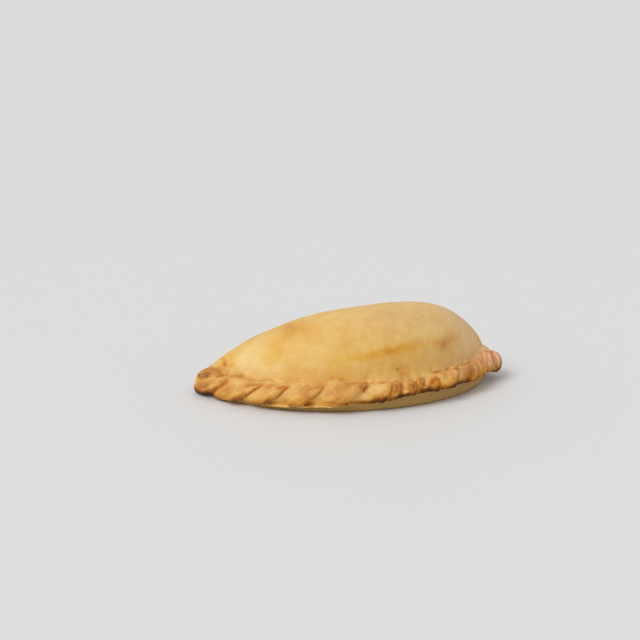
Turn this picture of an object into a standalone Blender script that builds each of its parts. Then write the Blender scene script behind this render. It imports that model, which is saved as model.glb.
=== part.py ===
"""Baked empanada: a half-moon turnover of pastry, closed along its curved front by a hand-folded braid.

It is one solid piece of crust. It rests on its flat base as it did on the oven tray. X runs from
tip to tip, the braid faces -Y, the folded back faces +Y and Z is up. The origin is the middle of
the base. Sizes are in metres and angles in degrees.
"""

import math

import bmesh
import bpy
import numpy as np
from mathutils import Matrix

# --- Driving sizes -------------------------------------------------------------------------
MM = 0.001

EDGE_RADIUS = 86.0 * MM     # braid's outer edge seen from above: the disc of dough it came from
DEPTH = 62.0 * MM           # outer edge of the braid to the folded back
BODY_LENGTH = 136.0 * MM    # the filled body from tip to tip, without the braid's end folds
BODY_MIDDLE_X = 1.0 * MM    # the filled body's middle, from the middle of the edge

# Height of the dome above the tray, at places along X (both in mm).
DOME_STATIONS = (
    (-69.0, 14.0), (-60.0, 20.0), (-50.0, 27.5), (-40.0, 32.3), (-30.0, 34.8), (-20.0, 36.3),
    (-8.0, 37.8), (4.0, 39.5), (16.0, 41.0), (28.0, 41.7), (40.0, 42.7), (52.0, 41.5), (69.0, 37.0),
)
STATION_BLEND = 6.0 * MM    # each way along X, the span over which the stations are averaged
STATION_SAMPLES = 9
DOME_FULLNESS = 0.92        # power of the dome's section: 1 is an ellipse, less is boxier
UNDERSIDE_FULLNESS = 0.7    # and of the section below its widest level
BACK_FULLNESS = 0.55        # power of the folded back's bulge, seen from above
TOP_BLUNTNESS = 3.0         # the dome stays high up to near its tips
BASE_BLUNTNESS = 5.0        # and the base stays flat even nearer to them
DOME_FOOT_INSET = 9.0 * MM  # where the dome comes down to the braid, in from the outer edge
SHEET_INSET = 3.0 * MM      # edge of the lower sheet of dough, in from the outer edge
SHEET_LENGTH = 129.0 * MM   # the lower sheet from tip to tip
SHEET_FULLNESS = 0.6        # power of its section: a low box with rounded edges
SHEET_BACK_SHARE = 0.8      # it stops this share of the way to the back, so it stays inside there
SHEET_CROWN = 1.0 * MM      # how far it rises above the middle of the braid
RIDGE_SHARE = 0.52          # the dome is highest this share of the way from its foot to its back
BACK_RIM_HEIGHT = 16.0 * MM     # widest level of the folded back
BASE_SINK = 5.0 * MM        # how far the round underside would go below the tray that flattens it

BRAID_INSET = 6.5 * MM      # braid's centre line, in from the outer edge
BRAID_HEIGHT = 8.6 * MM     # centre of the braid above the tray, where it is held off it
LEFT_TIP_DROP = 4.4 * MM    # how far it comes down to the left tip
LEFT_DROP_SPAN = (-12.0 * MM, -85.0 * MM)   # and between which places along the edge
RIGHT_TIP_DROP = 2.0 * MM
RIGHT_DROP_SPAN = (60.0 * MM, 86.0 * MM)
CORE_OUTER, CORE_INNER = 5.5 * MM, 8.0 * MM     # the seam inside the folds, each way from the
CORE_HEIGHT = 9.0 * MM                          # braid's centre line, and its full height
CORE_REACH = 84.0 * MM      # the seam's length each way along the edge from its middle
CORE_BLUNTNESS = 8.0

# --- The braid's folds, from the left tip to the right --------------------------------------
# Each row: place of the fold's middle along the edge from the edge's middle (mm), length along
# the edge, full width, full thickness, and the angles round the braid where it starts and ends
# (0 is straight out, 90 is up, 180 is in towards the filling).
FOLDS = (
    (-79.5, 14.0, 8.0, 5.5, 60.0, 150.0),
    (-74.5, 22.0, 10.5, 6.5, -20.0, 80.0),
    (-59.5, 29.0, 10.5, 5.5, -35.0, 115.0),
    (-43.5, 30.0, 11.0, 5.5, -35.0, 120.0),
    (-26.5, 30.0, 11.0, 5.5, -35.0, 120.0),
    (-10.0, 28.0, 11.5, 5.5, -35.0, 120.0),
    (5.5, 19.0, 10.0, 5.0, -35.0, 105.0),
    (15.5, 5.0, 10.0, 5.5, -50.0, 120.0),
    (21.5, 13.0, 9.5, 5.0, -35.0, 110.0),
    (30.5, 14.0, 9.5, 5.0, -35.0, 110.0),
    (41.0, 19.0, 10.5, 5.5, -45.0, 130.0),
    (58.5, 20.0, 11.0, 6.0, -45.0, 130.0),
    (74.0, 15.0, 10.5, 6.0, -45.0, 130.0),
    (84.5, 12.0, 10.0, 6.0, -50.0, 120.0),
)
FOLD_COIL_RADIUS = 4.0 * MM     # how far a fold's own middle line runs from the braid's
FOLD_ROLL = 18.0                # a fold's leading edge is lifted over the next one
FOLD_TAPER = 0.25               # fuller where it starts, thinner where it runs into the dome

# --- How finely the surfaces are drawn -------------------------------------------------------
BODY_AROUND, BODY_ALONG = 60, 48
SHEET_AROUND, SHEET_ALONG = 16, 32
CORE_AROUND, CORE_ALONG = 12, 32
FOLD_AROUND, FOLD_ALONG = 18, 14

CRUST_COLOUR = (0.72, 0.44, 0.15, 1.0)
CRUST_ROUGHNESS = 0.6
CREASE_ANGLE = 50.0         # folds meet the crust in a sharper crease than this

POLE_WIDTH = 1e-6           # stands in for the width of a unit sphere at its poles
EDGE_CENTRE_Y = EDGE_RADIUS - DEPTH / 2     # centre of the arc that the braid follows
BRAID_RADIUS = EDGE_RADIUS - BRAID_INSET
BASE_MIDDLE = (1.2 * MM, -0.4 * MM, 0.0)    # middle of the whole crust, from the edge's


# --- Curves that the crust follows -----------------------------------------------------------
def smooth_step(start, stop, value):
    """0 up to start, 1 from stop on, with a soft change between them; stop may be the lower."""
    share = np.clip((value - start) / (stop - start), 0.0, 1.0)
    return share * share * (3.0 - 2.0 * share)


def smooth_curve(stations, value):
    """A soft line through the stations: straight between them, then averaged over a short span."""
    places, levels = np.array(stations).T * MM
    spans = np.linspace(-STATION_BLEND, STATION_BLEND, STATION_SAMPLES)
    return sum(np.interp(value + span, places, levels) for span in spans) / len(spans)


def braid_height(along):
    """Height of the braid's centre line, by distance along it from its middle."""
    left_drop = LEFT_TIP_DROP * smooth_step(*LEFT_DROP_SPAN, along)
    right_drop = RIGHT_TIP_DROP * smooth_step(*RIGHT_DROP_SPAN, along)
    return BRAID_HEIGHT - left_drop - right_drop


def end_rounding(share, blunt):
    """1 in the middle of a length, falling to 0 at its ends; a high blunt falls late."""
    return np.sqrt(1.0 - np.minimum(np.abs(share), 1.0) ** blunt)


def signed_power(value, power):
    return np.sign(value) * np.abs(value) ** power


def half_moon(share, length, inset):
    """X, front and back of a half-moon plan, by share of its half length from -1 to 1.

    The front is an arc set in from the edge, and the back bulges from the line between the tips.
    """
    def arc(x):
        return EDGE_CENTRE_Y - np.sqrt((EDGE_RADIUS - inset) ** 2 - x**2)

    x = BODY_MIDDLE_X + share * length / 2
    left_tip, right_tip = arc(BODY_MIDDLE_X - length / 2), arc(BODY_MIDDLE_X + length / 2)
    between_tips = left_tip + (right_tip - left_tip) * (share + 1.0) / 2
    back = between_tips + (DEPTH / 2 - between_tips) * (1.0 - share**2) ** BACK_FULLNESS
    return x, arc(x), back


def body_points(unit):
    """The filled body: a unit sphere with its poles on X, given a half-moon plan and a D section.

    X picks the station. Round it, the section runs from the dome's foot in front, over the
    ridge, down the folded back and under to the base.
    """
    turn = np.arctan2(unit[:, 2], -unit[:, 1])
    out = np.cos(turn)
    rise = np.sin(turn)

    x, front, back = half_moon(unit[:, 0], BODY_LENGTH, DOME_FOOT_INSET)
    ridge = front + (back - front) * RIDGE_SHARE
    reach = np.where(out > 0.0, ridge - front, back - ridge)
    y = ridge - reach * signed_power(out, DOME_FULLNESS)

    foot = braid_height(BRAID_RADIUS * x / EDGE_RADIUS)
    back_share = (1.0 - out) / 2
    rim = foot + (BACK_RIM_HEIGHT - foot) * back_share * (1.0 - unit[:, 0] ** 2)
    top = rim + (smooth_curve(DOME_STATIONS, x) - rim) * end_rounding(unit[:, 0], TOP_BLUNTNESS)
    bottom = rim - (rim + BASE_SINK) * end_rounding(unit[:, 0], BASE_BLUNTNESS)
    over = rim + (top - rim) * np.abs(rise) ** DOME_FULLNESS
    under = rim + (bottom - rim) * np.abs(rise) ** UNDERSIDE_FULLNESS
    return np.stack([x, y, np.where(rise >= 0.0, over, under)], axis=1)


def sheet_points(unit):
    """The lower sheet of dough under the braid: a half-moon pad with a rounded, steep edge."""
    turn = np.arctan2(unit[:, 2], -unit[:, 1])
    x, front, back = half_moon(unit[:, 0], SHEET_LENGTH, SHEET_INSET)
    out = signed_power(np.cos(turn), SHEET_FULLNESS)
    rise = signed_power(np.sin(turn), SHEET_FULLNESS)
    half_depth = (back - front) / 2
    y = front + half_depth - half_depth * np.where(out > 0.0, 1.0, SHEET_BACK_SHARE) * out
    level = braid_height(BRAID_RADIUS * x / EDGE_RADIUS)
    depth = (level + BASE_SINK) * end_rounding(unit[:, 0], BASE_BLUNTNESS)
    z = level + np.where(rise >= 0.0, SHEET_CROWN, depth) * rise
    return np.stack([x, y, z], axis=1)


def along_edge(place):
    """Centre of the braid at places along the edge, with the ways forward, outward and up there."""
    bearing = place / BRAID_RADIUS
    forward = np.concatenate([np.cos(bearing), np.sin(bearing), 0 * bearing], axis=1)
    outward = np.concatenate([np.sin(bearing), -np.cos(bearing), 0 * bearing], axis=1)
    upward = np.array([[0.0, 0.0, 1.0]])
    centre = np.array([[0.0, EDGE_CENTRE_Y, 0.0]]) + outward * BRAID_RADIUS
    return centre + upward * braid_height(place), forward, outward, upward


def core_points(unit):
    """The seam inside the braid: a long bar that follows the edge, rounded at both ends.

    Its ends are the sphere's poles, on Z, where the sphere's own width is close to 0.
    """
    centre, _, outward, upward = along_edge(unit[:, 2:3] * CORE_REACH)
    sphere_width = np.maximum(np.hypot(unit[:, 0:1], unit[:, 1:2]), POLE_WIDTH)
    size = end_rounding(unit[:, 2:3], CORE_BLUNTNESS) / sphere_width
    high = upward * unit[:, 0:1] * (CORE_HEIGHT / 2)
    wide = outward * unit[:, 1:2] * np.where(unit[:, 1:2] > 0.0, CORE_OUTER, CORE_INNER)
    return centre + (wide + high) * size


def fold_points(unit, along, length, width, thickness, start, end):
    """One fold of the braid: a unit sphere drawn out along a short turn round the braid.

    Its poles, on Z, are the fold's two ends. Its middle line winds from the start angle to the
    end angle while it moves along the edge.
    """
    share = (unit[:, 2:3] + 1.0) / 2
    turn = np.radians(start + (end - start) * share)
    centre, forward, outward, upward = along_edge((along + (share - 0.5) * length) * MM)

    radial = outward * np.cos(turn) + upward * np.sin(turn)
    winding = upward * np.cos(turn) - outward * np.sin(turn)
    turn_per_length = math.radians(end - start) / (length * MM)
    heading = forward + winding * (FOLD_COIL_RADIUS * turn_per_length)
    heading = heading / np.linalg.norm(heading, axis=1, keepdims=True)
    leading = np.cross(heading, radial)

    roll = math.radians(FOLD_ROLL)
    wide = leading * math.cos(roll) + radial * math.sin(roll)
    thick = radial * math.cos(roll) - leading * math.sin(roll)
    fullness = 1.0 - FOLD_TAPER * unit[:, 2:3]
    offset = thick * unit[:, 0:1] * (thickness / 2) + wide * unit[:, 1:2] * (width / 2)
    return centre + radial * FOLD_COIL_RADIUS + offset * fullness * MM


# --- Building the objects ----------------------------------------------------------------------
def clear_scene():
    for old in list(bpy.data.objects):
        bpy.data.objects.remove(old, do_unlink=True)


def new_collection(name):
    collection = bpy.data.collections.new(name)
    bpy.context.scene.collection.children.link(collection)
    return collection


def new_sphere(name, collection, around, along, poles_on_x=False):
    """A UV sphere of radius 1, as the stock that a piece of dough is drawn from, and its points."""
    mesh = bpy.data.meshes.new(name)
    stock = bmesh.new()
    bmesh.ops.create_uvsphere(stock, u_segments=around, v_segments=along, radius=1.0)
    stock.to_mesh(mesh)
    stock.free()
    sphere = bpy.data.objects.new(name, mesh)
    collection.objects.link(sphere)
    unit = np.empty(len(mesh.vertices) * 3)
    mesh.vertices.foreach_get("co", unit)
    unit = unit.reshape(-1, 3)
    if poles_on_x:
        unit = np.stack([unit[:, 2], unit[:, 1], -unit[:, 0]], axis=1)
    return sphere, unit


def move_points(obj, points):
    obj.data.vertices.foreach_set("co", points.astype(np.float32).ravel())
    obj.data.update()


def add_boolean(obj, name, operation, other):
    cut = obj.modifiers.new(name, "BOOLEAN")
    cut.operation = operation
    cut.solver = "MANIFOLD"    # EXACT leaves specks of trapped air here
    cut.operand_type = "COLLECTION"
    cut.collection = other
    return cut


def apply_modifiers(obj):
    graph = bpy.context.evaluated_depsgraph_get()
    finished = bpy.data.meshes.new_from_object(obj.evaluated_get(graph))
    obj.modifiers.clear()
    obj.data = finished


def fill_trapped_air(mesh):
    """Where folds only just meet, a union leaves specks of trapped air: tiny shells of their own.

    A shell is followed across the edges that just two of its triangles share, so a speck that
    only touches the rest along a line still counts as its own.
    """
    shape = bmesh.new()
    shape.from_mesh(mesh)
    bmesh.ops.triangulate(shape, faces=shape.faces[:])
    waiting = set(shape.faces)
    shells = []
    while waiting:
        reached = [waiting.pop()]
        shell = []
        while reached:
            face = reached.pop()
            shell.append(face)
            shared = [edge.link_faces for edge in face.edges if len(edge.link_faces) == 2]
            near = {other for pair in shared for other in pair} & waiting
            waiting -= near
            reached.extend(near)
        shells.append(shell)
    shells.sort(key=len)
    for speck in shells[:-1]:
        bmesh.ops.delete(shape, geom=speck, context="FACES")
    shape.to_mesh(mesh)
    shape.free()


def crust_material():
    material = bpy.data.materials.new("crust")
    material.use_nodes = True
    shader = material.node_tree.nodes["Principled BSDF"]
    shader.inputs["Base Color"].default_value = CRUST_COLOUR
    shader.inputs["Roughness"].default_value = CRUST_ROUGHNESS
    shader.inputs["Metallic"].default_value = 0.0
    return material


def build_body(collection):
    body, unit = new_sphere("empanada", collection, BODY_AROUND, BODY_ALONG, poles_on_x=True)
    move_points(body, body_points(unit))
    return body


def build_sheet_and_core(collection):
    sheet, unit = new_sphere("lower_sheet", collection, SHEET_AROUND, SHEET_ALONG, poles_on_x=True)
    move_points(sheet, sheet_points(unit))
    core, unit = new_sphere("seam_core", collection, CORE_AROUND, CORE_ALONG)
    move_points(core, core_points(unit))


def build_folds(collection):
    for number, row in enumerate(FOLDS, start=1):
        fold, unit = new_sphere(f"fold_{number:02d}", collection, FOLD_AROUND, FOLD_ALONG)
        move_points(fold, fold_points(unit, *row))


def build_tray(collection):
    """The oven tray, as a cutter: whatever would sag below it is flat."""
    tray_depth = 2 * BASE_SINK
    mesh = bpy.data.meshes.new("tray")
    block = bmesh.new()
    bmesh.ops.create_cube(block, size=1.0)
    bmesh.ops.scale(block, vec=(2 * BODY_LENGTH, 4 * DEPTH, tray_depth), verts=block.verts)
    bmesh.ops.translate(block, vec=(0.0, 0.0, -tray_depth / 2), verts=block.verts)
    block.to_mesh(mesh)
    block.free()
    tray = bpy.data.objects.new("tray", mesh)
    tray.hide_render = True
    tray.display_type = "WIRE"
    collection.objects.link(tray)
    return tray


def main():
    clear_scene()
    crust = new_collection("empanada")
    dough = new_collection("dough_folds")
    cutters = new_collection("cutters")

    body = build_body(crust)
    build_sheet_and_core(dough)
    build_folds(dough)
    build_tray(cutters)

    add_boolean(body, "press folds on", "UNION", dough)
    add_boolean(body, "flatten base", "DIFFERENCE", cutters)
    bpy.context.view_layer.update()
    apply_modifiers(body)
    fill_trapped_air(body.data)
    for used in list(dough.objects) + list(cutters.objects):
        bpy.data.objects.remove(used, do_unlink=True)

    body.data.transform(Matrix.Translation(BASE_MIDDLE).inverted())
    body.data.shade_smooth()
    body.data.set_sharp_from_angle(angle=math.radians(CREASE_ANGLE))
    body.data.materials.append(crust_material())


main()
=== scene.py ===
# %% [markdown]
# # A baked empanada
#
# An empanada is a disc of dough folded over its filling. The two layers meet in a half-round edge,
# and the baker closes that edge by hand: pinch a little dough, fold it over, press it down, move on.
# The result is a braid of overlapping folds round the front of a smooth, domed pocket. In the oven
# the high and thin places brown first, and the dough under the braid stays pale.
#
# This script dresses the plain solid in three stages. It draws every piece of dough as a surface
# worked out from a formula, it fuses those pieces the way pressed dough fuses, and it browns the
# crust with a material that knows where the heat got to. The same material paints shade into the
# creases and under the braid, and a little sheen and highlight onto the dome.

import itertools
import math

import bmesh
import bpy
import numpy as np
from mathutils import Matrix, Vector


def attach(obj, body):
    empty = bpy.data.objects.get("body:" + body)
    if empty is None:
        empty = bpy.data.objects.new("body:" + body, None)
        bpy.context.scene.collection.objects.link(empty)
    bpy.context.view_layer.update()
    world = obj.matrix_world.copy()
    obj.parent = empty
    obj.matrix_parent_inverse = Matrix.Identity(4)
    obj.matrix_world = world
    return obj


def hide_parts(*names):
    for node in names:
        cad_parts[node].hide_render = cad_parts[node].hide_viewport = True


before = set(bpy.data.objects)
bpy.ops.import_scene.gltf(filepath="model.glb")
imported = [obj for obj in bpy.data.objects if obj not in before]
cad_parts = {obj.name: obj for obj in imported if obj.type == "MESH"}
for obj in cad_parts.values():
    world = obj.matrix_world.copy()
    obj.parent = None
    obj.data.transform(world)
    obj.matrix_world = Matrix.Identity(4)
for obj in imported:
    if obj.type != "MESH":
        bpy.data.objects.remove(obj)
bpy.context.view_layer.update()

# %% [markdown]
# ## Sizes
#
# The same few sizes shape the plain solid and this surface, so one sits over the other. Only the
# braid is a millimetre lower here, and its folds are finer. It follows an arc, the edge of the disc
# that was folded over. All that follows is given in millimetres, and `MM` turns it into Blender's
# metres.

# %% Driving sizes
MM = 0.001

EDGE_RADIUS = 86.0 * MM     # braid's outer edge seen from above
DEPTH = 62.0 * MM           # outer edge of the braid to the folded back
BRAID_INSET = 6.5 * MM      # braid's centre line, in from the outer edge
BRAID_RADIUS = EDGE_RADIUS - BRAID_INSET
EDGE_CENTRE_Y = EDGE_RADIUS - DEPTH / 2
BASE_MIDDLE = np.array([1.2, -0.4, 0.0]) * MM   # middle of the whole crust, from the edge's

BODY_LENGTH = 136.0 * MM
BODY_MIDDLE_X = 1.0 * MM
BASE_SINK = 5.0 * MM        # how far the round underside would go below the tray that flattens it

BRAID_HEIGHT = 7.4 * MM     # centre of the braid above the tray
LEFT_TIP_DROP, LEFT_DROP_SPAN = 3.4 * MM, (-12 * MM, -85 * MM)
RIGHT_TIP_DROP, RIGHT_DROP_SPAN = 0.6 * MM, (60 * MM, 86 * MM)
RIGHT_HUMP, RIGHT_HUMP_MIDDLE, RIGHT_HUMP_WIDTH = 2.4 * MM, 74 * MM, 6 * MM
BRAID_BELOW = 2.7 * MM      # how far the braid hangs below that height
RIGHT_CURL, RIGHT_CURL_SPAN = 2.1 * MM, (2 * MM, 26 * MM, 56 * MM, 74 * MM)     # how much less there
RIGHT_SAG, RIGHT_SAG_SPAN = 1.2 * MM, (74 * MM, 84 * MM)                        # and how much more
LEFT_SAG, LEFT_SAG_SPAN = 0.9 * MM, (-60 * MM, -72 * MM)


def smooth_step(start, stop, value):
    """0 up to start, 1 from stop on, with a soft change 3t^2 - 2t^3 between; stop may be lower."""
    share = np.clip((value - start) / (stop - start), 0.0, 1.0)
    return share * share * (3.0 - 2.0 * share)


def window(start, full, fading, end, value):
    """1 from full to fading and 0 outside start and end, with soft changes between."""
    return smooth_step(start, full, value) * smooth_step(end, fading, value)


def hump(value, middle, width):
    """1 at the middle, falling off to both sides like exp(-(distance / width)^2)."""
    return np.exp(-(((value - middle) / width) ** 2))


def right_hump(along):
    """The lift of the braid before its right tip."""
    return RIGHT_HUMP * hump(along, RIGHT_HUMP_MIDDLE, RIGHT_HUMP_WIDTH)


def braid_height(along):
    """The braid's height: level in the middle, lower at both tips, with a hump before the right one."""
    left_drop = LEFT_TIP_DROP * smooth_step(*LEFT_DROP_SPAN, along)
    right_drop = RIGHT_TIP_DROP * smooth_step(*RIGHT_DROP_SPAN, along)
    return BRAID_HEIGHT - (left_drop + right_drop) + right_hump(along)


def below_braid(along):
    """How far the braid hangs down: more at the tips, less on the right, where it curls up."""
    curl = RIGHT_CURL * window(*RIGHT_CURL_SPAN, along)
    right_sag = right_hump(along) + RIGHT_SAG * smooth_step(*RIGHT_SAG_SPAN, along)
    return BRAID_BELOW - curl + right_sag + LEFT_SAG * smooth_step(*LEFT_SAG_SPAN, along)


print("radius of the braid's arc, mm:", round(BRAID_RADIUS / MM, 1))

# %% [markdown]
# ## Randomness that stays the same
#
# Dough is never even, so its surface needs noise. This is value noise: a lattice of random numbers,
# with a soft blend between the eight corners round each point. One seed fixes the lattice, so every
# run gives the same empanada. Several layers, each finer and weaker than the last, look natural.

# %% Noise in space
LATTICE_SIZE = 32
LATTICE = np.random.default_rng(11).uniform(-1.0, 1.0, (LATTICE_SIZE,) * 3)
TURNED = np.linalg.qr(np.random.default_rng(5).normal(size=(3, 3)))[0]   # hides the lattice's own axes


def soft_noise(points, cell):
    """Noise from -1 to 1: the lattice values at a point's eight corners, blended by 3t^2 - 2t^3."""
    place = (points / cell) @ TURNED
    low = np.floor(place).astype(int)
    share = smooth_step(0.0, 1.0, place - low)
    total = np.zeros(len(points))
    for corner in itertools.product((0, 1), repeat=3):
        weight = np.prod(np.where(np.array(corner) == 1, share, 1.0 - share), axis=1)
        total += weight * LATTICE[tuple(((low + corner) % LATTICE_SIZE).T)]
    return total


def layered_noise(points, cell, layers=3):
    """Sum of soft noise where each layer has half the cell and half the strength of the one before."""
    return sum(soft_noise(points + layer * cell, cell / 2**layer) / 2**layer for layer in range(layers))


print("lattice of", LATTICE.size, "random numbers")

# %% [markdown]
# ## A ball of dough
#
# Every piece starts as a ball, as it does on the bench. A ball is a grid of rings between two poles,
# and its faces can be counted out with array arithmetic. A formula then moves the points, while the
# faces stay as they are, so the piece is always closed.


# %% The ball and its faces
def ball(around, along):
    """Points and faces of a unit sphere: rings of cos and sin between poles at Z = 1 and -1."""
    polar = np.linspace(0.0, math.pi, along + 1)[1:-1, None]
    turn = np.arange(around) * (2 * math.pi / around)
    rings = np.stack(
        [np.sin(polar) * np.cos(turn), np.sin(polar) * np.sin(turn), np.cos(polar) + 0 * turn], axis=-1
    )
    points = np.concatenate([[[0.0, 0.0, 1.0]], rings.reshape(-1, 3), [[0.0, 0.0, -1.0]]])
    here = np.arange(around)
    after = (here + 1) % around
    first = 1 + around * np.arange(along - 2)[:, None]
    below = first + around
    walls = np.stack([first + here, below + here, below + after, first + after], axis=-1).reshape(-1, 4)
    walls = np.concatenate([walls[:, [0, 1, 2]], walls[:, [0, 2, 3]]])
    last = 1 + around * (along - 2)
    top = np.stack([0 * here, 1 + here, 1 + after], axis=-1)
    bottom = np.stack([0 * here + len(points) - 1, last + after, last + here], axis=-1)
    return points, np.concatenate([walls, top, bottom])


def signed_power(value, power):
    """A power that keeps the sign, to make a round section boxier below 1."""
    return np.sign(value) * np.abs(value) ** power


def end_rounding(share, blunt):
    """1 in the middle of a length and 0 at its ends: the square root of 1 - |share|^blunt."""
    return np.sqrt(1.0 - np.minimum(np.abs(share), 1.0) ** blunt)


print("a ball has", len(ball(16, 12)[0]), "points at 16 x 12")

# %% [markdown]
# ## The filled body
#
# The folded dough over the filling is a half-moon from above and a D from the side: it rises from
# the braid, rounds over a ridge and comes straight down the folded back. Stations along its length
# give its height, low at the left tip and tallest near the blunt right end.

# %% The body
DOME_STATIONS = (
    (-69, 24), (-63, 24.5), (-57, 25.6), (-50, 28.4), (-40, 31.4), (-30, 34), (-20, 36.5), (-8, 38),
    (4, 39.5), (16, 41.2), (28, 42.2), (40, 42.3), (52, 40.8), (69, 36),
)
STATION_BLEND, STATION_SAMPLES = 6.0 * MM, 9
DOME_FULLNESS, UNDERSIDE_FULLNESS, BACK_FULLNESS = 0.92, 0.7, 0.55
TOP_BLUNTNESS, BASE_BLUNTNESS = 3.0, 5.0
DOME_FOOT_INSET = 9.0 * MM
RIDGE_SHARE = 0.52          # the dome is highest this share of the way from its foot to its back
BACK_RIM_HEIGHT = 16.0 * MM


def smooth_curve(stations, value):
    """A soft line through the stations: straight between them, then averaged over a short span."""
    places, levels = np.array(stations).T * MM
    spans = np.linspace(-STATION_BLEND, STATION_BLEND, STATION_SAMPLES)
    return sum(np.interp(value + span, places, levels) for span in spans) / len(spans)


def half_moon(share, length, inset):
    """X, front and back of a half-moon plan, by share of its half length from -1 to 1.

    The front is a circle's arc set in from the edge. The back bulges from the line between the tips
    by a power of 1 - share^2.
    """
    def arc(x):
        return EDGE_CENTRE_Y - np.sqrt((EDGE_RADIUS - inset) ** 2 - x**2)

    x = BODY_MIDDLE_X + share * length / 2
    left_tip, right_tip = arc(BODY_MIDDLE_X - length / 2), arc(BODY_MIDDLE_X + length / 2)
    between_tips = left_tip + (right_tip - left_tip) * (share + 1.0) / 2
    back = between_tips + (DEPTH / 2 - between_tips) * (1.0 - share**2) ** BACK_FULLNESS
    return x, arc(x), back


def body_surface():
    """A ball with its poles on X. X picks the station; the turn round X walks the D section."""
    unit, faces = ball(200, 240)
    share = np.clip(-unit[:, 2], -1.0, 1.0)
    turn = np.arctan2(unit[:, 0], -unit[:, 1])
    out, rise = np.cos(turn), np.sin(turn)
    x, front, back = half_moon(share, BODY_LENGTH, DOME_FOOT_INSET)
    ridge = front + (back - front) * RIDGE_SHARE
    reach = np.where(out > 0.0, ridge - front, back - ridge)
    y = ridge - reach * signed_power(out, DOME_FULLNESS)

    foot = braid_height(BRAID_RADIUS * x / EDGE_RADIUS)
    rim = foot + (BACK_RIM_HEIGHT - foot) * (1.0 - out) / 2 * (1.0 - share**2)
    top = rim + (smooth_curve(DOME_STATIONS, x) - rim) * end_rounding(share, TOP_BLUNTNESS)
    bottom = rim - (rim + BASE_SINK) * end_rounding(share, BASE_BLUNTNESS)
    over = rim + (top - rim) * np.abs(rise) ** DOME_FULLNESS
    under = rim + (bottom - rim) * np.abs(rise) ** UNDERSIDE_FULLNESS
    return np.stack([x, y, np.where(rise >= 0.0, over, under)], axis=1), faces


body = body_surface()
print("body points:", len(body[0]))

# %% [markdown]
# ## The lower sheet
#
# The lower layer of dough shows under the braid as a steep, pale wall, because the baker folds the
# edge up over it. It is a low box with rounded edges and the body's own half-moon plan.

# %% The lower sheet
SHEET_INSET = 3.0 * MM
SHEET_LENGTH = 129.0 * MM
SHEET_FULLNESS = 0.6
SHEET_BACK_SHARE = 0.8
SHEET_CROWN = 1.0 * MM


def sheet_surface():
    """A ball with its poles on X and a boxy section: both cos and sin are raised to a low power."""
    unit, faces = ball(80, 160)
    share = np.clip(-unit[:, 2], -1.0, 1.0)
    turn = np.arctan2(unit[:, 0], -unit[:, 1])
    x, front, back = half_moon(share, SHEET_LENGTH, SHEET_INSET)
    out = signed_power(np.cos(turn), SHEET_FULLNESS)
    rise = signed_power(np.sin(turn), SHEET_FULLNESS)
    half_depth = (back - front) / 2
    y = front + half_depth - half_depth * np.where(out > 0.0, 1.0, SHEET_BACK_SHARE) * out
    level = braid_height(BRAID_RADIUS * x / EDGE_RADIUS)
    depth = (level + BASE_SINK) * end_rounding(share, BASE_BLUNTNESS)
    return np.stack([x, y, level + np.where(rise >= 0.0, SHEET_CROWN, depth) * rise], axis=1), faces


sheet = sheet_surface()
print("sheet points:", len(sheet[0]))

# %% [markdown]
# ## The braid
#
# A fold of the braid is a pinch of dough that is turned over the edge and pressed onto the dome. Its
# middle line is a short piece of a helix round the braid: it starts low on the outside and winds up
# and in while it moves along. Across that line the fold is a flattened oval, fuller on the side that
# lies over the next fold, with creases that run along it and meet at its ends.
#
# No two folds are alike, so each has a row of its own. On the left they are long and slanted, and on
# the right short and steep, with a few narrow tucks between them.

# %% The rim, the lip, the corners and the filler
POLE_WIDTH = 1e-6           # stands in for the width of a unit sphere at its poles
RIM_INNER = 8.0 * MM        # the pinched rim under the folds, each way from the braid's centre line
RIM_OUTER, RIM_OUTER_LEFT = 6.2 * MM, 5.2 * MM
RIM_ABOVE = 4.0 * MM
RIM_FULLNESS = 0.75
RIM_SLOPE = math.radians(14.0)
LIP_MIDDLE, LIP_LENGTH = -27.0 * MM, 42.0 * MM
LIP_OUT, LIP_WIDTH, LIP_THICKNESS, LIP_DROP = 2.7 * MM, 8.0 * MM, 1.5 * MM, 1.0 * MM
# Each pinched corner: X, Y and Z of its middle and its three radii, all in mm.
CORNERS = (
    (-64.5, 14, 8.4, 5.2, 5, 4.8), (-61.5, 16, 9, 5.5, 6, 5), (-70, 12.5, 6.6, 4, 4, 4),
    (66, 18.5, 9, 6, 6.5, 6), (70, 14.5, 8, 5, 5, 5.2),
)
FILLER_MIDDLE, FILLER_LENGTH = 17.0 * MM, 40.0 * MM
FILLER_OUT, FILLER_UP = -3.6 * MM, 4.2 * MM
FILLER_HALF_WIDTH, FILLER_HALF_HEIGHT = 2.8 * MM, 4.4 * MM
FILLER_LEAN = 0.55          # how far it leans in towards the dome, per its height
RIM_START, RIM_END = -83.5 * MM, 84.0 * MM
RIM_BLUNTNESS = 5.0


def along_edge(place):
    """The braid's centre at places along it, with the ways forward, outward and up there."""
    bearing = place / BRAID_RADIUS
    forward = np.stack([np.cos(bearing), np.sin(bearing), 0 * bearing], axis=1)
    outward = np.stack([np.sin(bearing), -np.cos(bearing), 0 * bearing], axis=1)
    upward = np.array([[0.0, 0.0, 1.0]])
    centre = outward * BRAID_RADIUS + [0.0, EDGE_CENTRE_Y, 0.0]
    return centre + upward * braid_height(place)[:, None], forward, outward, upward


def beside_braid(place, across, high):
    """Points at places along the braid, moved outward from its centre and up."""
    centre, _, outward, upward = along_edge(place)
    return centre + outward * across[:, None] + upward * high[:, None]


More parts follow.
